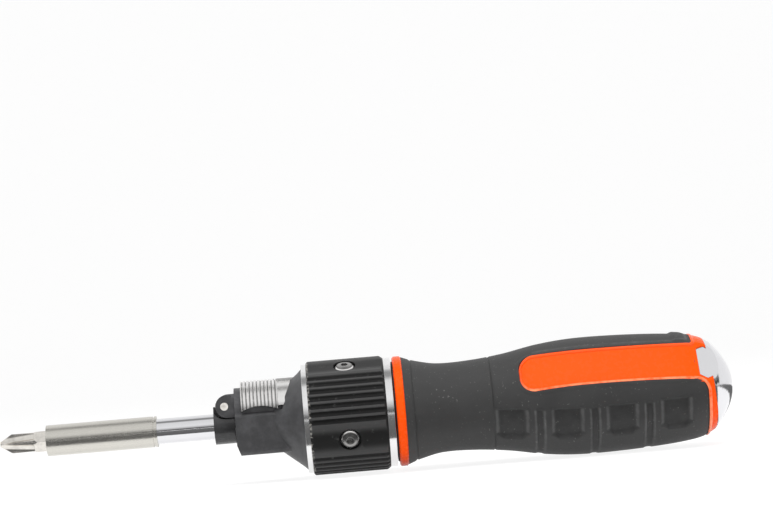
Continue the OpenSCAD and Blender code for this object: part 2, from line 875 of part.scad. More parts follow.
// The wedge of the grip's section that holds the top strip, seen from the axis
module top_sector(grow) {
    r = 2 * grip_r;
    w = strip_roll;
    translate([grip_x, 0, 0]) rotate([90, 0, 90]) linear_extrude(grip_length + over)
        polygon([
            [0, 0], [-r * sin(w), r * cos(w)], [-r * sin(w), r + grow],
            [r * sin(w), r + grow], [r * sin(w), r * cos(w)]
        ]);
}

module rubber_grip() {
    bump_x = strip_end - bump_length;
    bump_base = grip_at(bump_x);
    color("#262626") difference() {
        union() {
            turned(concat(
                [[grip_x, 0]], grip_line(grip_x, lower_end - seam_gap, 0), [[lower_end - seam_gap, 0]]
            ));
            // Thumb stop at the end of the top strip
            intersection() {
                top_sector(0);
                turned([
                    [bump_x, 0], [bump_x, bump_base - bump_rise],
                    [bump_x + bump_length * 0.4, bump_base + bump_rise],
                    [bump_x + bump_length * 0.8, bump_base + bump_rise * 0.6],
                    [strip_end - seam_gap, grip_at(strip_end)], [strip_end - seam_gap, 0]
                ]);
            }
        }
        turned(concat([[grip_x - over, 0]], [[grip_x - over, grip_at(grip_x) - rubber_t]],
            grip_line(grip_x, grip_end, rubber_t), [[grip_end, 0]]));
        panel_zone(seam_gap);
        cap_skirt_body(seam_gap);
        intersection() {
            rod(strip_end - seam_gap, grip_end, 2 * grip_r);
            top_sector(over);
        }
        // A fine line behind the orange ring
        ring(lip_x, lip_x + lip_w, grip_r, grip_at(lip_x) - lip_depth);
        for (i = [0:pad_count - 1]) {
            x = pad_last - i * pad_pitch;
            // Sunk pads on both sides
            for (s = [-1, 1]) rotate([s * pad_roll, 0, 0])
                translate([x, 0, grip_at(x) - pad_depth]) linear_extrude(grip_r) mirror([0, s > 0 ? 0 : 1])
                polygon([
                    [-pad_w / 2, -pad_h / 2], [pad_w / 2, -pad_h / 2], [pad_w / 2, pad_h / 2 - pad_bevel],
                    [pad_w / 2 - pad_bevel, pad_h / 2], [-pad_w / 2 + pad_bevel, pad_h / 2],
                    [-pad_w / 2, pad_h / 2 - pad_bevel]
                ]);
            // Finger grooves under the grip, between the pads
            if (i > 0) intersection() {
                m = x + pad_pitch / 2;
                r = grip_at(m);
                turned([
                    [m - finger_w / 2, r + over], [m - finger_w / 2, r + over / 4],
                    [m - finger_w / 4, r - finger_depth], [m + finger_w / 4, r - finger_depth],
                    [m + finger_w / 2, r + over / 4], [m + finger_w / 2, r + over]
                ]);
                block([grip_x, -2 * grip_r, -2 * grip_r], [grip_end, 2 * grip_r, finger_top]);
            }
        }
    }
}

module end_cap() {
    rim = grip_at(grip_end);
    places = 14;
    color("gainsboro") difference() {
        union() {
            cap_skirt_body(0);
            intersection() {
                turned(concat(
                    [[strip_end, 0]], grip_line(strip_end, grip_end, 0),
                    [
                        for (i = [1:places]) let (u = 1 - i / places)
                            [grip_end + cap_dome * (1 - u ^ 2), rim * u]
                    ]
                ));
                behind_seam(0);
            }
        }
        outside_panels();
    }
}

phillips_bit();
bit_holder();
holder_magnet();
drive_shaft();
nose_knuckle();
pivot_pin();
pivot_washers();
head_body();
selector_slide();
detent_ball();
detent_spring();
front_trim_ring();
grip_collar();
collar_screws();
rear_trim_ring();
ratchet_wheel();
ratchet_pawl();
pawl_pin();
ratchet_cover();
cover_circlip();
thrust_washer();
handle_spindle();
running_seal();
handle_ring();
handle_core();
rubber_grip();
end_cap();
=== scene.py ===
"""Looks of a ratcheting screwdriver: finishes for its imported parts, a moulded rubber grip, a cross-point bit
and a studio.

The tool's axis is X, the bit points to -X and the thumb slide is on top. A roll is an angle about the axis,
counted from the top towards -Y. Lengths are in metres.
"""
import math

import bpy
import numpy as np
from mathutils import Matrix, Vector


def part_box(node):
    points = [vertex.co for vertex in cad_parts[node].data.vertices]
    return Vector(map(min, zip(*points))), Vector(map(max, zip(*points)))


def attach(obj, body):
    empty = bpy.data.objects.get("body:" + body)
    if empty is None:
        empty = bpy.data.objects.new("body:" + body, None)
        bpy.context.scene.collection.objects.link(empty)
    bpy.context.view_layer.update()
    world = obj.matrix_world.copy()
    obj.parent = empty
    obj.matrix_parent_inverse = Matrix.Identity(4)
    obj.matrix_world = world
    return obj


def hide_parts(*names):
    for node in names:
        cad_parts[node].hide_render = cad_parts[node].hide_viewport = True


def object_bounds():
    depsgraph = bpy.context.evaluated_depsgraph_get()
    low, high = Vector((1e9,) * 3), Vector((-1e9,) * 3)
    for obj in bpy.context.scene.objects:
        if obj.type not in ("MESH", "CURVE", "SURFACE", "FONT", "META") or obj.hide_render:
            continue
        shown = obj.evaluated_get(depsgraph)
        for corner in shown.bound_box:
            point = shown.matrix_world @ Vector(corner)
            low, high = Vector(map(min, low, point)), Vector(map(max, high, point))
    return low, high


bl_info = {
    "name": "Ratcheting screwdriver looks",
    "version": (1, 0, 0),
    "blender": (4, 5, 0),
    "location": "View3D > Sidebar > Screwdriver",
    "description": "Dresses the packed screwdriver and sets up its studio",
    "category": "Object",
}

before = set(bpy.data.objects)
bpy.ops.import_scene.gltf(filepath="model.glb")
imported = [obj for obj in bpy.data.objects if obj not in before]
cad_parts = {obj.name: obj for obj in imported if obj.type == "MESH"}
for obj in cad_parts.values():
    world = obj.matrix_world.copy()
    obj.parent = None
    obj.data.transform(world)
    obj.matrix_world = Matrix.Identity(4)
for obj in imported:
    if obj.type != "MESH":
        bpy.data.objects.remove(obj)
cad_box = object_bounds()
MM = 0.001

# Sizes and colours that a user may change


def length(name, words, value):
    """A length in metres."""
    return bpy.props.FloatProperty(name=name, description=words, default=value, unit="LENGTH")


def colour(name, words, value):
    """A colour as linear shares of red, green and blue."""
    return bpy.props.FloatVectorProperty(
        name=name, description=words, subtype="COLOR", size=3, min=0, max=1, default=value)


class GripSizes(bpy.types.PropertyGroup):
    """Sizes of the moulded rubber."""

    seam_place: length("Seam", "Place of the mould's seam along the axis", 0.141)
    seam_depth: length("Seam depth", "Depth of the mould's seam", 0.0003)
    strip_bevel: length("Strip bevel", "Width of the bevel along the top strip", 0.0016)
    lip_round: length("Lip", "Width of the rounded lip round the panels", 0.0008)
    bead_width: length("Orange lip", "Width of the orange lip along the rubber", 0.0009)
    bead_height: length("Lip height", "Height of the orange lip", 0.00042)
    pad_depth: length("Pad depth", "Depth of the sunk pads", 0.0013)
    groove_depth: length("Groove depth", "Depth of the grooves between the pads", 0.0009)


class BitSizes(bpy.types.PropertyGroup):
    """Sizes of the cross-point bit."""

    wing: length("Wing", "Thickness of a wing of the cross point", 0.0012)
    flute_length: length("Flutes", "Length of the flutes behind the point", 0.0078)


class ToolColours(bpy.types.PropertyGroup):
    """Colours of the finishes."""

    rubber: colour("Rubber", "Matt rubber of the grip", (0.032, 0.032, 0.032))
    orange: colour("Orange", "Semi-gloss plastic of the core and ring", (0.960, 0.083, 0.002))
    enamel: colour("Enamel", "Satin black of the head", (0.040, 0.040, 0.042))
    anodised: colour("Anodised", "Black aluminium of the collar", (0.010, 0.010, 0.010))
    chrome: colour("Chrome", "Bright plating of the shaft and the cap", (0.80, 0.80, 0.82))
    nickel: colour("Nickel", "Satin plating of the bit holder", (0.70, 0.68, 0.63))
    rings: colour("Rings", "Bright rings beside the collar", (0.88, 0.88, 0.88))
    slide: colour("Slide", "Plating of the thumb slide", (0.92, 0.91, 0.90))
    bit: colour("Bit", "Ground steel of the bit", (0.78, 0.75, 0.70))
    pin: colour("Pin", "Whitish steel of the hinge pin", (0.86, 0.83, 0.78))
    steel: colour("Steel", "Ground steel of screws and gears", (0.62, 0.61, 0.60))
    magnet: colour("Magnet", "Plated magnet in the bit's socket", (0.42, 0.42, 0.44))
    bronze: colour("Bronze", "Sintered bronze of the washer", (0.60, 0.40, 0.19))


class StudioSettings(bpy.types.PropertyGroup):
    """Light and camera."""

    lens: bpy.props.FloatProperty(
        name="Lens", description="Focal length on a 36 mm sensor", default=116.4, unit="CAMERA")
    key: bpy.props.FloatProperty(
        name="Key", description="Power of the lamp overhead", default=6.5, unit="POWER")
    fill: bpy.props.FloatProperty(
        name="Fill", description="Power of the lamp in front", default=2.0, unit="POWER")
    sky: bpy.props.FloatProperty(name="Sky", description="Strength of the room's even light", default=0.48)


# Shader recipes


class Wire:
    """A value that changes over a surface. Sums and products of wires add their own Math nodes."""

    def __init__(self, graph, socket):
        self.graph = graph
        self.socket = socket

    def math(self, operation, *others):
        """A Math node on this value and others."""
        return self.graph.node("ShaderNodeMath", {"operation": operation}, [self, *others])

    def __add__(self, other):
        return self.math("ADD", other)

    def __sub__(self, other):
        return self.math("SUBTRACT", other)

    def __rsub__(self, other):
        return self.math("MULTIPLY_ADD", -1.0, other)

    def __mul__(self, other):
        return self.math("MULTIPLY", other)

    def __truediv__(self, other):
        return self.math("DIVIDE", other)

    __radd__ = __add__
    __rmul__ = __mul__

    def above(self, low, high):
        """0 below low, 1 above high, and a smooth climb between them."""
        return self.graph.node(
            "ShaderNodeMapRange", {"interpolation_type": "SMOOTHSTEP"},
            {"Value": self, "From Min": low, "From Max": high})


class Graph:
    """A tree of nodes, and the one way in which nodes are added to it."""

    def __init__(self, tree):
        self.tree = tree

    def node(self, kind, settings, sockets, output=0):
        """A node of a kind, with its settings set first and then its sockets, and one of its outputs as a
        wire. Stops among the settings are a ramp's places and grey levels."""
        made = self.tree.nodes.new(kind)
        for name, value in settings.items():
            if name == "stops":
                fill_ramp(made.color_ramp.elements, value)
            else:
                setattr(made, name, value)
        pairs = sockets.items() if isinstance(sockets, dict) else enumerate(sockets)
        for name, value in pairs:
            socket = made.inputs[name]
            if isinstance(value, Wire):
                self.tree.links.new(value.socket, socket)
            else:
                socket.default_value = value
        return Wire(self, made.outputs[output]) if made.outputs else None


def fill_ramp(elements, stops):
    """Gives a ramp its places and grey levels."""
    while len(elements) < len(stops):
        elements.new(0.5)
    for element, (at, level) in zip(elements, stops):
        element.position = at
        element.color = (level, level, level, 1)


class Recipe(Graph):
    """One finish: a Principled shader, and the nodes that feed it."""

    def __init__(self, name, **constants):
        self.material = bpy.data.materials.new(name)
        self.material.use_nodes = True
        super().__init__(self.material.node_tree)
        self.shader = self.tree.nodes["Principled BSDF"]
        for name, value in constants.items():
            socket = name.replace("_", " ").title().replace("Ior", "IOR")
            self.shader.inputs[socket].default_value = value
        self.place = self.node("ShaderNodeTexCoord", {}, {}, "Object")

    def noise(self, scale, detail=2.0, rough=0.5, place=None):
        """Cloudy noise from 0 to 1, with a feature size of one over the scale, in metres."""
        return self.node(
            "ShaderNodeTexNoise", {},
            {"Vector": place or self.place, "Scale": scale, "Detail": detail, "Roughness": rough})

    def stretched(self, x, y, z):
        """The place on the piece, stretched along its axes."""
        return self.node("ShaderNodeVectorMath", {"operation": "MULTIPLY"}, [self.place, (x, y, z)])

    def along(self, axis):
        """The place on the piece along the X, Y or Z axis."""
        return self.node("ShaderNodeSeparateXYZ", {}, [self.place], axis)

    def mix(self, factor, low, high):
        """A colour between two colours."""
        full = [c if isinstance(c, Wire) else (*c, 1.0) for c in (low, high)]
        return self.node("ShaderNodeMix", {"data_type": "RGBA"}, {0: factor, 6: full[0], 7: full[1]}, 2)

    def feed(self, **wires):
        """Links wires to the shader's own sockets."""
        for name, wire in wires.items():
            self.tree.links.new(wire.socket, self.shader.inputs[name.replace("_", " ")])

    def relief(self, height, depth, edge=0.0):
        """Bumps the surface by a height of a depth in metres, and rounds its sharp edges by a radius."""
        sockets = {"Height": height, "Distance": depth, "Strength": 1.0}
        if edge:
            sockets["Normal"] = self.node("ShaderNodeBevel", {"samples": 6}, {"Radius": edge})
        self.feed(Normal=self.node("ShaderNodeBump", {}, sockets))


# Colours that wear and dirt bring, and the painted highlight of the orange lip
DUST = (0.18, 0.18, 0.17)
HIGHLIGHT_ORANGE = (1.0, 0.30, 0.14)
CHIPPED_EDGE = (0.30, 0.29, 0.27)
WORN_BLACK = (0.075, 0.075, 0.072)


def shade(value, factor):
    """A colour made lighter or darker."""
    return tuple(c * factor for c in value)


def rubber_finish(name, base, light_attribute=None):
    """Matt rubber: a fine moulded grain, soft blotches, and pale specks of dust. An attribute of the piece
    can paint highlights on walls, crests and edges, and paint shade on what lies low."""
    f = Recipe(name, roughness=0.62, ior=1.48)
    grain = f.noise(5200, 3, 0.6)
    cloud = f.noise(90, 3, 0.6)
    dust = f.noise(1500, 1, 0.4).above(0.70, 0.78)
    skin = f.mix(cloud, shade(base, 0.8), shade(base, 1.3))
    if light_attribute:
        # Painted light from the piece's attribute: painted shade where it is low, and painted highlights where
        # it is high
        light_share = f.node("ShaderNodeAttribute", {"attribute_name": light_attribute}, {}, "Fac")
        light_share = light_share + (f.noise(420, 3, 0.6) - 0.5) * 0.5
        low = f.mix(light_share.above(0.0, 0.5), shade(base, 0.55), skin)
        skin = f.mix(light_share.above(0.55, 1.0), low, shade(base, 2.6))
    f.feed(
        Base_Color=f.mix(dust * 0.5, skin, DUST),
        Roughness=0.50 + cloud * 0.16 + grain * 0.10,
    )
    f.relief(grain * 0.7 + f.noise(1300, 2) * 0.6, 0.00004)
    return f.material


def plastic_finish(name, base):
    """Semi-gloss moulded plastic: flow marks in the colour and a faint orange-peel skin."""
    f = Recipe(name, roughness=0.3, ior=1.46, specular_ior_level=0.12)
    flow = f.noise(60, 2, 0.5, f.stretched(0.35, 1, 1))
    f.feed(
        Base_Color=f.mix(flow.above(0.3, 0.7), shade(base, 0.94), base),
        Roughness=0.22 + f.noise(700, 3) * 0.10,
    )
    f.relief(f.noise(900, 2), 0.000012, 0.0005)
    return f.material


def lip_finish(name, base):
    """The orange plastic of the lip: a painted highlight along its lower side, low on the tool, and plain on
    top.
    """
    f = Recipe(name, roughness=0.2, ior=1.46, specular_ior_level=0.5)
    # Painted highlight: paler orange in patches where the lip lies low on the tool
    rubbed = (1 - f.along("Z").above(0.003, 0.008)) * f.noise(420, 3, 0.6).above(0.25, 0.65)
    f.feed(Base_Color=f.mix(rubbed * 0.8, base, HIGHLIGHT_ORANGE), Roughness=0.16 + f.noise(700, 3) * 0.10)
    f.relief(f.noise(900, 2), 0.000008)
    return f.material


def enamel_finish(name, base, rough=0.34, level=0.42):
    """Black coat: a fine powder grain, with paler patches of wear."""
    f = Recipe(name, roughness=rough, ior=1.5, specular_ior_level=level)
    cloud = f.noise(160, 4, 0.65)
    f.feed(
        Base_Color=f.mix(cloud.above(0.35, 0.75), base, shade(base, 1.8)),
        Roughness=rough + cloud * (rough * 0.5),
    )
    f.relief(f.noise(3600, 3, 0.6) + f.noise(700, 2) * 0.7, 0.000035, 0.00022)
    return f.material


def anodised_finish(name, base, crest_from, rim_from):
    """Black anodised aluminium: fine lines along the axis from the cutter, crests that wear has paled where
    they lie far from the axis, pale grains of wear, and chips along the front rim."""
    f = Recipe(name, roughness=0.4, ior=1.5, specular_ior_level=0.22)
    lines = f.noise(2400, 2, 0.5, f.stretched(0.04, 1, 1))
    wear = f.noise(520, 4, 0.7).above(0.58, 0.74)
    y, z = f.along("Y"), f.along("Z")
    crest = (y * y + z * z).math("SQRT").above(*crest_from)
    chips = (1 - f.along("X").above(*rim_from)) * f.noise(1100, 3, 0.6).above(0.46, 0.60)
    pale = f.mix(chips, f.mix(crest, base, shade(base, 5.0)), CHIPPED_EDGE)
    f.feed(
        Base_Color=f.mix(wear * 0.6, pale, WORN_BLACK),
        Roughness=0.40 + lines * 0.14,
    )
    f.relief(lines + f.noise(2500, 2) * 0.5, 0.000018, 0.00018)
    return f.material


def bright_finish(name, base, rough, edge=0.00015):
    """Polished plating: a mirror with a faint haze that wanders over it."""
    f = Recipe(name, metallic=1.0, roughness=rough)
    haze = f.noise(140, 4, 0.6)
    f.feed(
        Base_Color=f.mix(haze, shade(base, 0.93), base),
        Roughness=rough * 0.6 + haze * (rough * 0.9),
    )
    f.relief(f.noise(420, 2), 0.000008, edge)
    return f.material


def turned_finish(name, base, rough, lines=6000.0, metal=1.0):
    """Turned or ground metal: fine rings across the axis, blotches in its sheen, and darker stains."""
    f = Recipe(name, metallic=metal, roughness=rough)
    rings = f.noise(lines, 2, 0.6, f.stretched(1, 0.02, 0.02))
    stain = f.noise(240, 4, 0.7)
    f.feed(
        Base_Color=f.mix(stain.above(0.35, 0.8), base, shade(base, 0.72)),
        Roughness=rough * 0.75 + rings * (rough * 0.5) + stain * 0.08,
    )
    f.relief(rings + f.noise(1600, 2) * 0.4, 0.000012, 0.00015)
    return f.material


def ribbed_finish(name, base, rough, first, pitch, last):
    """Polished plating on ribs that start and end at places along the axis, with painted shade low in the
    grooves.
    """
    f = Recipe(name, metallic=1.0, roughness=rough)
    haze = f.noise(700, 4, 0.6)
    x = f.along("X")
    # Painted shade in the grooves between the ribs, in patches, and none behind the last rib
    groove = 1 - (((x - first) / pitch).math("FRACT") - 0.5).math("ABSOLUTE").above(0.08, 0.22)
    painted_shade = groove * (1 - x.above(last - 0.0001, last)) * haze.above(0.2, 0.5)
    f.feed(
        Base_Color=f.mix(painted_shade, f.mix(haze, shade(base, 0.85), base), shade(base, 0.24)),
        Roughness=rough * 0.7 + haze * rough,
    )
    f.relief(f.noise(420, 2), 0.000008, 0.0003)
    return f.material


def screw_finish(name, base, middle, roll, head):
    """Ground steel screws, four about the axis at right angles, with a painted dark ring over the dish and a
    painted highlight ring at the rim of each head."""
    f = Recipe(name, metallic=1.0, roughness=0.25)
    y, z = f.along("Y"), f.along("Z")
    one = (y * math.cos(roll) + z * math.sin(roll)).math("ABSOLUTE")
    two = (z * math.cos(roll) - y * math.sin(roll)).math("ABSOLUTE")
    across, gone = one.math("MINIMUM", two), f.along("X") - middle
    off = (across * across + gone * gone).math("SQRT") / head
    stain = f.noise(900, 3, 0.6)
    # Painted shade in a ring over each head's dish, and a painted highlight ring at its rim
    dish = f.mix(off.above(0.66, 0.76), shade(base, 0.6), shade(base, 0.2))
    f.feed(
        Base_Color=f.mix(off.above(0.84, 0.90), f.mix(stain, dish, shade(base, 0.45)), shade(base, 1.4)),
        Roughness=0.20 + stain * 0.14,
    )
    f.relief(f.noise(2400, 2), 0.00001, 0.0003)
    return f.material


def brushed_finish(name, base, rough):
    """Satin plating: fine lines along the axis, faint rings across it, and a soft change of sheen."""
    f = Recipe(name, metallic=1.0, roughness=rough)
    lines = f.noise(5200, 2, 0.6, f.stretched(0.03, 1, 1))
    rings = f.noise(900, 2, 0.6, f.stretched(1, 0.05, 0.05))
    cloud = f.noise(55, 2, 0.5)
    f.feed(
        Base_Color=f.mix(lines, shade(base, 0.86), base),
        Roughness=rough * 0.8 + lines * (rough * 0.35) + cloud * 0.05,
    )
    f.relief(lines + rings * 0.5, 0.000008, 0.00015)
    return f.material


def dress(finish, *nodes):
    """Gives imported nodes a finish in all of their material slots."""
    for node in nodes:
        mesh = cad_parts[node].data
        if not mesh.materials:
            mesh.materials.append(finish)
        for i in range(len(mesh.materials)):
            mesh.materials[i] = finish


# Surfaces


def surface(name, points, finish, body, sharp=35.0, loop=False):
    """A closed piece from a grid of points: each row closes on itself, and the first and last rows are closed
    by a point at their centres, or in a loop are joined to each other."""
    rows, around = points.shape[:2]
    verts = points.reshape(-1, 3)
    i, j = np.meshgrid(np.arange(rows if loop else rows - 1), np.arange(around), indexing="ij")
    k, n = (j + 1) % around, (i + 1) % rows
    faces = np.stack([i * around + j, i * around + k, n * around + k, n * around + j], -1)
    faces = faces.reshape(-1, 4).tolist()
    if not loop:
        verts = np.concatenate([verts, [points[0].mean(0), points[-1].mean(0)]])
        a = np.arange(around)
        b = (a + 1) % around
        faces += np.stack([np.full(around, rows * around), b, a], -1).tolist()
        far = (rows - 1) * around
        faces += np.stack([np.full(around, rows * around + 1), far + a, far + b], -1).tolist()
    mesh = bpy.data.meshes.new(name)
    mesh.from_pydata(verts.tolist(), [], faces)
    mesh.materials.append(finish)
    mesh.polygons.foreach_set("use_smooth", np.ones(len(mesh.polygons), bool))
    mesh.set_sharp_from_angle(angle=math.radians(sharp))
    mesh.update()
    piece = bpy.data.objects.new(name, mesh)
    bpy.context.scene.collection.objects.link(piece)
    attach(piece, body)
    return piece


def about_axis(x, radius, roll):
    """Points at a place along the axis, a radius and a roll from the top towards -Y."""
    return np.stack(np.broadcast_arrays(x, -radius * np.sin(roll), radius * np.cos(roll)), -1)


def climb(value, low, high):
    """0 below low, 1 above high, and the cubic 3t^2 - 2t^3 between them."""
    t = np.clip((value - low) / (high - low), 0, 1)
    return t * t * (3 - 2 * t)


def ridge(value, low, crest, high):
    """0 up to low, a climb to 1 at the crest, and a fall to 0 from there to high."""
    return climb(value, low, crest) * (1 - climb(value, crest, high))


def wrapped(roll):
    """A roll from half a turn one way to half a turn the other way."""
    return (roll + np.pi) % (2 * np.pi) - np.pi


# The grip's outline, as shares of its length and of its largest radius
GRIP_SHARES = np.array([
    [0, 0.925], [0.04, 0.85], [0.115, 0.768], [0.225, 0.777], [0.33, 0.838], [0.44, 0.945],
    [0.55, 1], [0.68, 1], [0.83, 0.962], [0.93, 0.905], [0.97, 0.848], [1, 0.762],
])
GRIP_LENGTH, GRIP_R = 97.7 * MM, 18.4 * MM
# The rubber's thickness, and how far before the grip's end its closed skin stops
RUBBER, REAR = 2.2 * MM, 2.0 * MM
# A side panel's start, half width and front corners, and the roll of its middle
PANEL_START, PANEL_HALF, PANEL_CORNER = 36.2 * MM, 6.55 * MM, 5.0 * MM
PANEL_ROLL = math.radians(57)
# Ends of the top strip and of the rubber below the panels, before the grip's end, and their corners
STRIP_BACK, LOWER_BACK = 6.1 * MM, 2.8 * MM
STRIP_TURN, LOWER_TURN = 1.2 * MM, 3.2 * MM
# The core's flats, as a share of the grip's radius, and the leaning cut at the tail of each
FLAT_SHARE = 0.915
FACET_BACK, FACET_LEAN = 7.5 * MM, math.radians(17)
# Sunk pads: how many, the roll of their middle, the last one's place before the grip's end, and their pitch
PADS, PAD_ROLL, PAD_BACK, PAD_PITCH = 4, math.radians(116.5), 13.4 * MM, 17.0975 * MM
# A pad's half length, half width and cut lower corners, the slant of its walls and ends, and its fade beside
# an opening
PAD_HALF, PAD_REACH, PAD_CUT = 4.5 * MM, 5.2 * MM, 1.8 * MM
PAD_WALL, PAD_END, PAD_FADE = 1.7 * MM, 0.9 * MM, (0.3 * MM, 1.6 * MM)
# Grooves between the pads: where they begin above the pads' middle, their sides and the crests with a painted
# highlight, both from their middle, the rolls between which they grow shallow, and the share of their depth
# that goes there
GROOVE_BEGIN, GROOVE_SIDES = (-5.6 * MM, -4.4 * MM), (0.5 * MM, 1.5 * MM)
GROOVE_CRESTS = (0.6 * MM, 1.3 * MM, 2.2 * MM)
GROOVE_FADE, GROOVE_LOSS = (math.radians(140), math.radians(165)), 0.72
# The seam's sides, and the place, depth and sides of the fine line behind the orange ring
SEAM_SIDES = (0.1 * MM, 0.32 * MM)
LINE_PLACE, LINE_DEPTH, LINE_SIDES = 2.8 * MM, 0.3 * MM, (0.15 * MM, 0.4 * MM)
# Thumb stop: its rise, its climb and its fall before the strip's end, the share that falls, and its sides as
# rolls inside the strip's edge
STOP_RISE, STOP_CLIMB, STOP_FALL = 0.6 * MM, (6.6 * MM, 4.9 * MM), (3.2 * MM, 0.6 * MM)
STOP_LOSS, STOP_SIDES = 0.75, (0.30, 0.42)
# Edges of the rubber: the drop of the strip's bevel and of the lip, the lap along a panel with its slant and
# how proud it stands, what is left of the skin in an opening with its slant, and the width of the painted
# highlight along a bevel's crest
STRIP_DROP, LIP_DROP = 0.45 * MM, 0.20 * MM
LAP, LAP_SLANT, LAP_PROUD = 0.85 * MM, 0.25 * MM, 0.10 * MM
OPENING_SKIN, OPENING_SLANT, CREST = 0.5 * MM, 0.30 * MM, 0.6 * MM
# Grid of the rubber, the step that measures its slopes, and how near an opening its points move to the edge
RUBBER_ROWS, RUBBER_AROUND = 300, 320
STEP, NEAR_EDGE = 0.02 * MM, 0.17 * MM
# The lip's middle and half width as shares of its width, how deep its rims lie, and how deep its root
BEAD_MIDDLE, BEAD_HALF, BEAD_SINK, BEAD_ROOT = 0.40, 0.58, 0.05 * MM, 0.5 * MM
# Far enough from a panel to be outside it
FAR = 1.0


def grip_radius(share):
    """The grip's radius at a share of its length: cubic Hermite pieces through the outline's places, each
    with the slope of the line between its two neighbours."""
    t, v = GRIP_SHARES.T
    share = np.clip(share, 0, 1)
    n = len(t)
    low, high = np.maximum(np.arange(n) - 1, 0), np.minimum(np.arange(n) + 1, n - 1)
    slope = (v[high] - v[low]) / (t[high] - t[low])
    i = np.clip(np.searchsorted(t, share, side="left") - 1, 0, n - 2)
    w = t[i + 1] - t[i]
    u = (share - t[i]) / w
    value = (2 * u**3 - 3 * u**2 + 1) * v[i] + (u**3 - 2 * u**2 + u) * w * slope[i]
    value += (3 * u**2 - 2 * u**3) * v[i + 1] + (u**3 - u**2) * w * slope[i + 1]
    return GRIP_R * value


def bounds_of_grip():
    """Where the grip starts behind the orange ring, and where its length ends under the cap."""
    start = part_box("handle_ring")[1].x
    return start, start + GRIP_LENGTH


def opening(x, roll, radius):
    """How far a point of the grip is outside the orange openings, below 0 inside them. A side panel is a bar
    with two rounded corners at its front, and the tail is all that lies behind the strip's end or the lower
    end. The rubber's own corners between the two are rounded off."""
    start, end = bounds_of_grip()
    off = np.abs(wrapped(roll)) - PANEL_ROLL
    across = np.where(np.cos(off) > 0, np.abs(radius * np.sin(off)), FAR)
    px = start + PANEL_START + PANEL_CORNER - x
    pw = across - (PANEL_HALF - PANEL_CORNER)
    panel = np.hypot(np.maximum(px, 0), np.maximum(pw, 0)) + np.minimum(np.maximum(px, pw), 0) - PANEL_CORNER
    tail = np.where(off < 0, end - STRIP_BACK, end - LOWER_BACK) - x
    turn = np.where(off < 0, STRIP_TURN, LOWER_TURN)
    u, v = np.maximum(turn - panel, 0), np.maximum(turn - tail, 0)
    return np.where((u > 0) & (v > 0), turn - np.hypot(u, v), np.minimum(panel, tail))


def rubber_height(x, roll, radius, sizes):
    """How far the rubber's skin stands off the grip's outline: sunk pads and grooves between them, a seam, a
    thumb stop on the strip, bevels along the openings, and a fall to the core inside the openings. The second
    value is the painted light on the skin: 0 for painted shade low in a pad, a half where it is plain, and 1
    for painted highlights on walls and edges."""
    start, end = bounds_of_grip()
    side = np.abs(wrapped(roll))
    apart = opening(x, roll, radius)
    top = side < PANEL_ROLL
    height = np.zeros_like(apart)
    light_share = np.full_like(apart, 0.5)
    # Sunk pads with slanting walls, and grooves that run on under the grip
    across = (side - PAD_ROLL) * radius
    for i in range(PADS):
        middle = end - PAD_BACK - PAD_PITCH * i
        along = np.abs(x - middle) - PAD_HALF
        low = np.abs(across) - (PAD_REACH - np.clip(along + PAD_CUT, 0, PAD_CUT) * (across > 0))
        walls, ends = np.clip(0.5 - along / PAD_WALL, 0, 1), np.clip(0.5 - low / PAD_END, 0, 1)
        inside = np.minimum(walls, ends)
        height -= sizes.pad_depth * inside * climb(apart, *PAD_FADE)
        # Painted highlight on the pad's walls, and painted shade on its floor
        light_share += 2.0 * walls * (1 - walls) * ends - 0.24 * inside
        if i < PADS - 1:
            gap = np.abs(x - middle + PAD_PITCH / 2)
            under = climb(across, *GROOVE_BEGIN)
            deep = sizes.groove_depth * (1 - GROOVE_LOSS * climb(side, *GROOVE_FADE))
            height -= deep * (1 - climb(gap, *GROOVE_SIDES)) * under
            # Painted highlights on the crests beside the groove, and painted shade in its bottom
            light_share += (ridge(gap, *GROOVE_CRESTS) - 0.3 * (gap < GROOVE_SIDES[0])) * under * 0.4
    # Seam and the fine line behind the orange ring
    height -= sizes.seam_depth * (1 - climb(np.abs(x - sizes.seam_place), *SEAM_SIDES))
    height -= LINE_DEPTH * (1 - climb(np.abs(x - start - LINE_PLACE), *LINE_SIDES))
    # Thumb stop
    stop = end - STRIP_BACK
    ramp = climb(x, stop - STOP_CLIMB[0], stop - STOP_CLIMB[1])
    ramp = ramp * (1 - STOP_LOSS * climb(x, stop - STOP_FALL[0], stop - STOP_FALL[1]))
    height += STOP_RISE * ramp * top * climb(PANEL_ROLL - side, *STOP_SIDES)
    # Bevel of the strip and lip of the rest
    bevel = np.where(top, sizes.strip_bevel, sizes.lip_round)
    height -= np.where(top, STRIP_DROP, LIP_DROP) * (1 - np.clip(apart / bevel, 0, 1)) ** 1.6
    # Along a panel the rubber laps over the core, just proud of it, and it falls inside the openings
    lap = (1 - climb(apart, LAP, LAP + LAP_SLANT)) * (x < end - STRIP_BACK)
    height += np.maximum(LAP_PROUD - height, 0) * lap
    height -= (RUBBER - OPENING_SKIN) * climb(-apart, 0.0, OPENING_SLANT)
    # Painted highlights along the crest of the strip's bevel, behind the front of the panels, and on the
    # slopes of the thumb stop
    crest = (1 - np.clip(np.abs(apart - bevel) / CREST, 0, 1)) * (x > start + PANEL_START + PANEL_CORNER)
    light_share += (0.4 * ramp * (1 - ramp) + 0.35 * crest) * top
    return height, np.clip(light_share, 0, 1)


def core_radius(x, roll):
    """The orange core's skin: the grip's outline, cut flat at the panels, with a leaning cut at the tail of
    each."""
    start, end = bounds_of_grip()
    off = np.abs(wrapped(roll)) - PANEL_ROLL
    radius = grip_radius((x - start) / (end - start))
    facet = end - FACET_BACK
    lean = FLAT_SHARE * grip_radius((facet - start) / (end - start)) - (x - facet) * math.tan(FACET_LEAN)
    flat = np.where(x > facet, lean, radius * FLAT_SHARE)
    return np.where(np.cos(off) > 0.5, np.minimum(radius, flat / np.maximum(np.cos(off), 0.5)), radius)


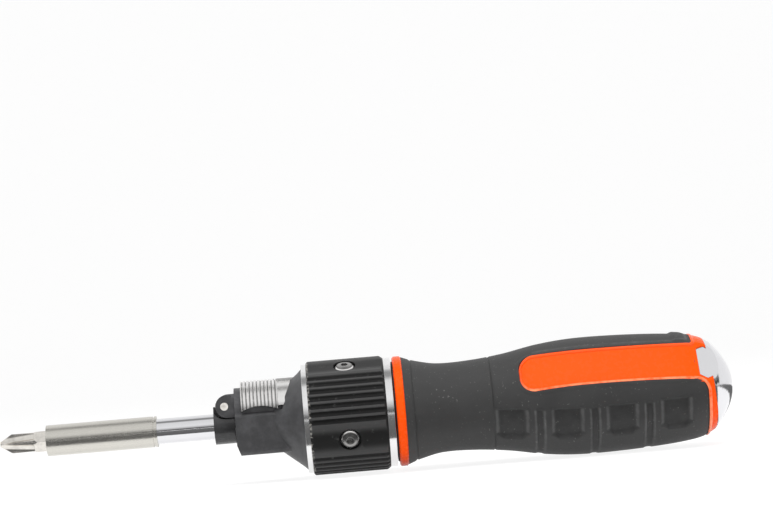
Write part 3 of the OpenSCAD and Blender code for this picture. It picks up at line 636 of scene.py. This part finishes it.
def opening_edge():
    """Places along the axis and rolls all round the openings' edge: from the top behind the strip, along one
    panel's upper side, round its front, back along its lower side, down behind the rubber, and on over the
    far side as a mirror image."""
    start, end = bounds_of_grip()
    strip, lower, front = end - STRIP_BACK, end - LOWER_BACK, start + PANEL_START + PANEL_CORNER

    def arc(x, across, r, begin, stop, count):
        t = np.radians(np.linspace(begin, stop, count))
        return np.stack([x + r * np.cos(t), across + r * np.sin(t)])

    def line(begin, stop, across, count):
        return np.stack([np.linspace(begin, stop, count)[1:-1], np.full(count - 2, across)])

    inner = PANEL_HALF - PANEL_CORNER
    x, across = np.concatenate([
        arc(strip - STRIP_TURN, -PANEL_HALF - STRIP_TURN, STRIP_TURN, 0, 90, 12),
        line(strip - STRIP_TURN, front, -PANEL_HALF, 160),
        arc(front, -inner, PANEL_CORNER, -90, -180, 24),
        arc(front, inner, PANEL_CORNER, 180, 90, 24),
        line(front, lower - LOWER_TURN, PANEL_HALF, 160),
        arc(lower - LOWER_TURN, PANEL_HALF + LOWER_TURN, LOWER_TURN, -90, 0, 20),
    ], axis=1)
    roll = PANEL_ROLL + np.arcsin(across / grip_radius((x - start) / (end - start)))
    top, under = np.linspace(0, roll[0], 24)[:-1], np.linspace(roll[-1], np.pi, 60)[1:]
    x = np.concatenate([np.full(len(top), strip), x, np.full(len(under), lower)])
    roll = np.concatenate([top, roll, under])
    return np.concatenate([x, x[-2:0:-1]]), np.concatenate([roll, 2 * np.pi - roll[-2:0:-1]])


class SCREWDRIVER_OT_lip(bpy.types.Operator):
    """Builds the rounded lip of the orange plastic along the rubber"""

    bl_idname = "screwdriver.lip"
    bl_label = "Orange lip"

    def execute(self, context):
        sizes = context.scene.screwdriver_grip
        x, roll = opening_edge()
        radius = core_radius(x, roll)
        # The places to either side give the way along the edge, and a quarter turn of it the way inwards
        dx = np.roll(x, -1) - np.roll(x, 1)
        ds = wrapped(np.roll(roll, -1) - np.roll(roll, 1)) * radius
        size = np.hypot(dx, ds)
        # Half an ellipse over the skin, from the panel's side to the rubber's, closed by one point below
        t = np.linspace(0, np.pi, 12)
        inwards = sizes.bead_width * np.append(BEAD_MIDDLE + BEAD_HALF * np.cos(t), BEAD_MIDDLE)[None, :]
        height = np.append(sizes.bead_height * np.sin(t) ** 0.8 - BEAD_SINK, -BEAD_ROOT)[None, :]
        px = x[:, None] + inwards * (ds / size)[:, None]
        pr = roll[:, None] - inwards * (dx / size / radius)[:, None]
        finish = lip_finish("lip_plastic", tuple(context.scene.screwdriver_colours.orange))
        points = about_axis(px, core_radius(px, pr) + height, pr)
        surface("orange_lip", points, finish, "handle", 60, loop=True)
        return {"FINISHED"}


class SCREWDRIVER_OT_rubber(bpy.types.Operator):
    """Builds the moulded rubber of the grip"""

    bl_idname = "screwdriver.rubber"
    bl_label = "Rubber grip"

    def execute(self, context):
        sizes = context.scene.screwdriver_grip
        start, end = bounds_of_grip()
        x = np.linspace(start, end - REAR, RUBBER_ROWS)[:, None]
        roll = np.linspace(-np.pi, np.pi, RUBBER_AROUND, endpoint=False)[None, :]
        x, roll = np.broadcast_arrays(x, roll)
        radius = grip_radius((x - start) / (end - start))
        # Points that lie close to an opening's edge move onto it, so that the edge is a clean line
        for _ in range(3):
            apart = opening(x, roll, radius)
            dx = (opening(x + STEP, roll, radius) - apart) / STEP
            ds = (opening(x, roll + STEP / radius, radius) - apart) / STEP
            move = np.where(np.abs(apart) < NEAR_EDGE, -apart, 0) / np.maximum(dx**2 + ds**2, 0.5)
            x = x + move * dx
            roll = roll + move * ds / radius
            radius = grip_radius((x - start) / (end - start))
        height, light_share = rubber_height(x, roll, radius, sizes)
        skin = radius + height
        x[0], x[-1] = start, end - REAR
        finish = rubber_finish("grip_rubber", tuple(context.scene.screwdriver_colours.rubber), "rubbed")
        piece = surface("grip_rubber", about_axis(x, skin, roll), finish, "handle", 50)
        # The skin's painted light and shade goes onto the piece as an attribute, which its finish reads
        rubbed = piece.data.attributes.new("rubbed", "FLOAT", "POINT")
        rubbed.data.foreach_set("value", np.append(light_share.ravel(), [0.5, 0.5]))
        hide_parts("rubber_grip")
        return {"FINISHED"}


# The bit along the axis: the finely ringed part behind its point, the start of its shank, and the facets at
# the shank's end. Then its point's radius and slope, its blade's radius, and half of its width across flats
FINE_PART, SHANK_START, SHANK_FACET = 9.5 * MM, -4.1 * MM, 2 * MM
POINT_R, POINT_SLOPE, BLADE_R, HEX_HALF = 0.8 * MM, 0.61, 3.0 * MM, 3.175 * MM
# The shank's turned corners: their slopes at its front and at its end, and its radius at its end
FRONT_SLOPE, END_SLOPE, END_R = 0.55, 0.9, 3.05 * MM
# Flutes: the radius of each trough, how it grows shallower, its depth in the point as a share of a wing, and
# where it has run out, as a share of the flutes' length
TROUGH_R, TROUGH_RISE, TROUGH_SHARE, FLUTE_END = 2.1 * MM, math.tan(math.radians(7)), 0.6, 1.4


class SCREWDRIVER_OT_bit(bpy.types.Operator):
    """Builds the cross-point bit"""

    bl_idname = "screwdriver.bit"
    bl_label = "Bit"

    def execute(self, context):
        sizes = context.scene.screwdriver_bit
        low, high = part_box("phillips_bit")
        fine_end = low.x + FINE_PART
        x = np.concatenate([
            np.linspace(low.x, fine_end, 90), np.linspace(fine_end + 0.1 * MM, SHANK_START - 0.2 * MM, 12),
            np.linspace(SHANK_START, SHANK_START + 1.4 * MM, 8),
            np.linspace(SHANK_START + 1.7 * MM, high.x - 0.6 * MM, 12), [high.x],
        ])[:, None]
        roll = np.linspace(0, 2 * np.pi, 288, endpoint=False)[None, :]
        gone = x - low.x
        # Turned outline: a blunt point, a cone and a blade
        outline = np.minimum(POINT_R + gone * POINT_SLOPE, BLADE_R)
        # Cross section: four flutes, each a round trough that grows shallower away from the point
        folded = np.abs((roll - np.pi / 4) % (np.pi / 2) - np.pi / 4)
        centre = TROUGH_R + sizes.wing * TROUGH_SHARE + gone * TROUGH_RISE
        out = np.pi / 4 - folded
        left = TROUGH_R**2 - (centre * np.sin(out)) ** 2
        inner = centre * np.cos(out) - np.sqrt(np.maximum(left, 0))
        cut = (left > 0) & (gone < sizes.flute_length * FLUTE_END)
        fluted = np.where(cut, np.minimum(outline, inner), outline)
        # Hexagon shank with turned corners
        six = HEX_HALF / np.cos((roll + np.pi / 6) % (np.pi / 3) - np.pi / 6)
        shank = np.minimum(six, BLADE_R + np.clip(x - SHANK_START, 0, SHANK_FACET) * FRONT_SLOPE)
        shank = np.minimum(shank, END_R + np.clip(high.x - x, 0, SHANK_FACET) * END_SLOPE)
        radius = np.where(x > SHANK_START, shank, fluted)
        finish = turned_finish("bit_steel", tuple(context.scene.screwdriver_colours.bit), 0.15, 2500)
        piece = surface("driver_bit", about_axis(x, radius, roll), finish, "bit", 28)
        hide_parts("phillips_bit")
        return {"FINISHED"}


class SCREWDRIVER_OT_nose(bpy.types.Operator):
    """Finishes the holder, the shaft and the folding nose"""

    bl_idname = "screwdriver.nose"
    bl_label = "Holder, shaft and nose"

    def execute(self, context):
        tones = context.scene.screwdriver_colours
        dress(brushed_finish("holder_steel", tuple(tones.nickel), 0.24), "bit_holder")
        dress(bright_finish("shaft_chrome", tuple(tones.chrome), 0.07), "drive_shaft")
        dress(enamel_finish("nose_enamel", shade(tones.enamel, 0.5), 0.18, 0.5), "nose_knuckle")
        pin = turned_finish("pin_steel", tuple(tones.pin), 0.45, 3000, metal=0.25)
        dress(pin, "pivot_pin", "pivot_washers")
        dress(turned_finish("magnet_plate", tuple(tones.magnet), 0.3, 3000), "holder_magnet")
        return {"FINISHED"}


# The ribs' pitch on the thumb slide and how many there are, and the roll of a collar's screw with its radius
RIB_PITCH, RIBS = 1.16 * MM, 10
LAND_ROLL, SCREW_R = math.radians(24), 3.0 * MM
# The collar's wear: from and to which depth below its crests, and from and to where behind its front rim
CREST_WEAR, RIM_WEAR = (0.55 * MM, 0.1 * MM), (0.2 * MM, 0.9 * MM)


class SCREWDRIVER_OT_head(bpy.types.Operator):
    """Finishes the head, the thumb slide, the collar and its rings"""

    bl_idname = "screwdriver.head"
    bl_label = "Head and collar"

    def execute(self, context):
        tones = context.scene.screwdriver_colours
        dress(enamel_finish("black_enamel", tuple(tones.enamel)), "head_body")
        low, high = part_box("grip_collar")
        finish = anodised_finish(
            "black_aluminium", tuple(tones.anodised), [high.z - depth for depth in CREST_WEAR],
            [low.x + back for back in RIM_WEAR])
        dress(finish, "grip_collar")
        dress(bright_finish("ring_metal", tuple(tones.rings), 0.16), "front_trim_ring", "rear_trim_ring")
        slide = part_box("selector_slide")[0].x
        finish = ribbed_finish(
            "slide_chrome", tuple(tones.slide), 0.20, slide, RIB_PITCH, slide + RIBS * RIB_PITCH)
        dress(finish, "selector_slide")
        middle = (low.x + high.x) / 2
        dress(screw_finish("screw_steel", tuple(tones.steel), middle, LAND_ROLL, SCREW_R), "collar_screws")
        return {"FINISHED"}


class SCREWDRIVER_OT_works(bpy.types.Operator):
    """Finishes the ratchet, the spindle and the detent inside the tool"""

    bl_idname = "screwdriver.works"
    bl_label = "Ratchet and spindle"

    def execute(self, context):
        tones = context.scene.screwdriver_colours
        dress(
            turned_finish("plain_steel", tuple(tones.steel), 0.32), "ratchet_wheel", "ratchet_pawl",
            "pawl_pin", "ratchet_cover", "cover_circlip", "handle_spindle", "detent_ball", "detent_spring")
        dress(turned_finish("bronze", tuple(tones.bronze), 0.40), "thrust_washer")
        return {"FINISHED"}


class SCREWDRIVER_OT_handle(bpy.types.Operator):
    """Finishes the handle's plastic core, its ring, its seal and its steel cap"""

    bl_idname = "screwdriver.handle"
    bl_label = "Handle"

    def execute(self, context):
        tones = context.scene.screwdriver_colours
        dress(plastic_finish("orange_plastic", tuple(tones.orange)), "handle_core", "handle_ring")
        dress(bright_finish("cap_chrome", tuple(tones.chrome), 0.09, 0.0004), "end_cap")
        dress(rubber_finish("seal_rubber", tuple(tones.rubber)), "running_seal")
        return {"FINISHED"}


# Stage

WHITE = (1, 1, 1, 1)
# Floor: its gap below the tool, its reach to the front, to the back and to each side, the radius of its sweep
# up behind the tool, and the height of the wall there
FLOOR_GAP, FLOOR_FRONT, FLOOR_BACK, FLOOR_SIDE = 0.0004, -9.0, 1.6, 9.0
SWEEP_R, WALL_TOP = 0.8, 4.0
# Rows of the sweep, and the shares of them where its turn starts and over which it goes
SWEEP_ROWS, SWEEP_FROM, SWEEP_OVER = 40, 0.55, 0.3
# Share and strength of the floor's glow
GLOW_SHARE, GLOW = 0.74, 1.16
# Dark cards just above the floor: their reach along the tool and across it, and their height over its lowest
CARDS, CARD_LIFT = ((-0.6, 0.9, 0.06, 0.30), (-0.6, 0.9, -0.40, -0.022)), 0.0006
# The sky in mirrors: heights of a ray from 0 straight down to 1 straight up, each with its grey level
SKY_STOPS = (
    (0.0, 0.9), (0.44, 0.6), (0.48, 0.05), (0.54, 0.07),
    (0.62, 0.50), (0.74, 0.95), (0.98, 0.85), (0.995, 0.30),
)
# Lamps: each one's place, size, and share of its power
LAMP_AIM = (0.1, 0, 0)
KEY_LAMP = ((0.0, -0.25, 0.75), (0.9, 0.5), 1.0)
FILL_LAMP = ((0.25, -0.9, 0.18), (0.8, 0.5), 1.0)
RIM_LAMP = ((0.75, 0.1, 0.30), (0.4, 0.4), 0.5)
# Camera's place, and the ways to its right, up and back, which fit the photograph
CAMERA_PLACE = (0.09638893, -0.79363878, 0.02645852)
CAMERA_TURN = (
    (0.9963377, -0.0169151, -0.08381566), (0.08332311, -0.02798135, 0.99612966),
    (-0.01919491, -0.99946532, -0.02646946),
)


def lamp(name, kind, power):
    """A rectangular lamp, turned to the tool, which mirrors don't show."""
    place, size, share = kind
    light = bpy.data.lights.new(name, "AREA")
    light.shape = "RECTANGLE"
    light.size, light.size_y = size
    light.energy = power * share
    made = bpy.data.objects.new(name, light)
    made.location = place
    made.rotation_euler = (Vector(LAMP_AIM) - Vector(place)).to_track_quat("-Z", "Y").to_euler()
    made.visible_glossy = False
    bpy.context.scene.collection.objects.link(made)


def stage_piece(name, corners, faces, finish):
    """A piece of the stage from its corners and faces."""
    mesh = bpy.data.meshes.new(name)
    mesh.from_pydata(corners, [], faces)
    mesh.materials.append(finish)
    made = bpy.data.objects.new(name, mesh)
    bpy.context.scene.collection.objects.link(made)
    return made


def floor_grid():
    """Corners and faces of the floor: flat, then a quarter turn upwards, then a wall. Rows repeat at the two
    ends of the turn, so that smooth shading leaves the floor and the wall flat."""
    low = cad_box[0].z - FLOOR_GAP
    share = np.linspace(0, 1, SWEEP_ROWS)[1:]
    turn = np.clip((share - SWEEP_FROM) / SWEEP_OVER, 0, 1) * np.pi / 2
    flat = np.linspace(FLOOR_FRONT, FLOOR_BACK, 8)
    deep = np.concatenate([flat, FLOOR_BACK + SWEEP_R * np.sin(turn), [FLOOR_BACK + SWEEP_R]])
    tall = np.concatenate([np.full(len(flat), low), low + SWEEP_R * (1 - np.cos(turn)), [low + WALL_TOP]])
    wide = np.linspace(-FLOOR_SIDE, FLOOR_SIDE, 5)
    corners = np.stack(np.broadcast_arrays(wide[None, :], deep[:, None], tall[:, None]), -1)
    n = len(wide)
    i, j = np.meshgrid(np.arange(len(deep) - 1), np.arange(n - 1), indexing="ij")
    faces = np.stack([i * n + j, i * n + j + 1, (i + 1) * n + j + 1, (i + 1) * n + j], -1)
    return corners.reshape(-1, 3).tolist(), faces.reshape(-1, 4).tolist()


def pale_finish():
    """Pale paper with a faint grain, and a steady white share where a camera, a mirror or glass sees it."""
    f = Recipe("pale_paper", roughness=0.95)
    f.feed(Base_Color=f.mix(f.noise(300, 3), (0.86, 0.86, 0.86), (0.90, 0.90, 0.90)))
    f.relief(f.noise(900, 3), 0.00002)
    camera, glossy, through = (
        f.node("ShaderNodeLightPath", {}, {}, ray)
        for ray in ("Is Camera Ray", "Is Glossy Ray", "Is Transmission Ray"))
    glow = f.node("ShaderNodeEmission", {}, {"Color": WHITE, "Strength": GLOW})
    share = (camera + glossy + through) * GLOW_SHARE
    both = f.node("ShaderNodeMixShader", {}, [share, Wire(f, f.shader.outputs[0]), glow])
    f.tree.links.new(both.socket, f.tree.nodes["Material Output"].inputs["Surface"])
    return f.material


def room_light(world, sky):
    """Even light for the tool, white for the camera, and a light and dark sky for mirrors."""
    world.use_nodes = True
    g = Graph(world.node_tree)
    g.tree.nodes.clear()
    rise = g.node("ShaderNodeSeparateXYZ", {}, [g.node("ShaderNodeTexCoord", {}, {}, "Generated")], "Z")
    grey = g.node("ShaderNodeValToRGB", {"stops": SKY_STOPS}, [rise * 0.5 + 0.5])
    even = g.node("ShaderNodeBackground", {}, {"Color": WHITE, "Strength": sky})
    mirrored = g.node("ShaderNodeBackground", {}, {"Color": grey})
    white = g.node("ShaderNodeBackground", {}, {"Color": WHITE})
    glossy = g.node("ShaderNodeLightPath", {}, {}, "Is Glossy Ray")
    camera = g.node("ShaderNodeLightPath", {}, {}, "Is Camera Ray")
    lit = g.node("ShaderNodeMixShader", {}, [glossy, even, mirrored])
    final = g.node("ShaderNodeMixShader", {}, [camera, lit, white])
    g.node("ShaderNodeOutputWorld", {}, {"Surface": final})


class SCREWDRIVER_OT_stage(bpy.types.Operator):
    """Sets up the floor, the room, the lamps and the camera"""

    bl_idname = "screwdriver.stage"
    bl_label = "Stage"

    def execute(self, context):
        scene = context.scene
        studio = scene.screwdriver_studio
        scene.view_settings.view_transform = "Standard"
        floor = stage_piece("floor", *floor_grid(), pale_finish())
        floor.data.polygons.foreach_set("use_smooth", np.ones(len(floor.data.polygons), bool))
        # Dark cards that only the bright metal sees
        dark = Recipe("dark_card", roughness=1.0, base_color=(0.10, 0.10, 0.10, 1)).material
        level = cad_box[0].z + CARD_LIFT
        for left, right, near, far in CARDS:
            corners = [(left, near, level), (right, near, level), (right, far, level), (left, far, level)]
            card = stage_piece("dark_card", corners, [(0, 1, 2, 3)], dark)
            card.visible_camera = card.visible_diffuse = card.visible_shadow = False
            card.visible_transmission = False
        scene.world = bpy.data.worlds.new("room")
        room_light(scene.world, studio.sky)
        lamp("key_lamp", KEY_LAMP, studio.key)
        lamp("fill_lamp", FILL_LAMP, studio.fill)
        lamp("rim_lamp", RIM_LAMP, studio.fill)
        # Camera
        camera = bpy.data.cameras.new("camera")
        camera.lens = studio.lens
        camera.sensor_width = 36.0
        camera.clip_start, camera.clip_end = 0.01, 50.0
        eye = bpy.data.objects.new("camera", camera)
        eye.matrix_world = Matrix.Translation(CAMERA_PLACE) @ Matrix(CAMERA_TURN).transposed().to_4x4()
        scene.collection.objects.link(eye)
        scene.camera = eye
        return {"FINISHED"}


class SCREWDRIVER_PT_panel(bpy.types.Panel):
    """Lists the steps that dress the tool"""

    bl_idname = "SCREWDRIVER_PT_panel"
    bl_label = "Screwdriver"
    bl_space_type = "VIEW_3D"
    bl_region_type = "UI"
    bl_category = "Screwdriver"

    def draw(self, context):
        for step in STEPS:
            self.layout.operator(step.bl_idname)


STEPS = (
    SCREWDRIVER_OT_nose, SCREWDRIVER_OT_head, SCREWDRIVER_OT_works, SCREWDRIVER_OT_handle,
    SCREWDRIVER_OT_lip, SCREWDRIVER_OT_rubber, SCREWDRIVER_OT_bit, SCREWDRIVER_OT_stage,
)
GROUPS = {
    "screwdriver_grip": GripSizes, "screwdriver_bit": BitSizes,
    "screwdriver_colours": ToolColours, "screwdriver_studio": StudioSettings,
}


def register():
    for name, group in GROUPS.items():
        bpy.utils.register_class(group)
        setattr(bpy.types.Scene, name, bpy.props.PointerProperty(type=group))
    for step in (*STEPS, SCREWDRIVER_PT_panel):
        bpy.utils.register_class(step)


def unregister():
    for step in (*STEPS, SCREWDRIVER_PT_panel):
        bpy.utils.unregister_class(step)
    for name, group in GROUPS.items():
        delattr(bpy.types.Scene, name)
        bpy.utils.unregister_class(group)


def main():
    register()
    bpy.ops.screwdriver.nose()
    bpy.ops.screwdriver.head()
    bpy.ops.screwdriver.works()
    bpy.ops.screwdriver.handle()
    bpy.ops.screwdriver.lip()
    bpy.ops.screwdriver.rubber()
    bpy.ops.screwdriver.bit()
    bpy.ops.screwdriver.stage()


if __name__ == "__main__":
    main()
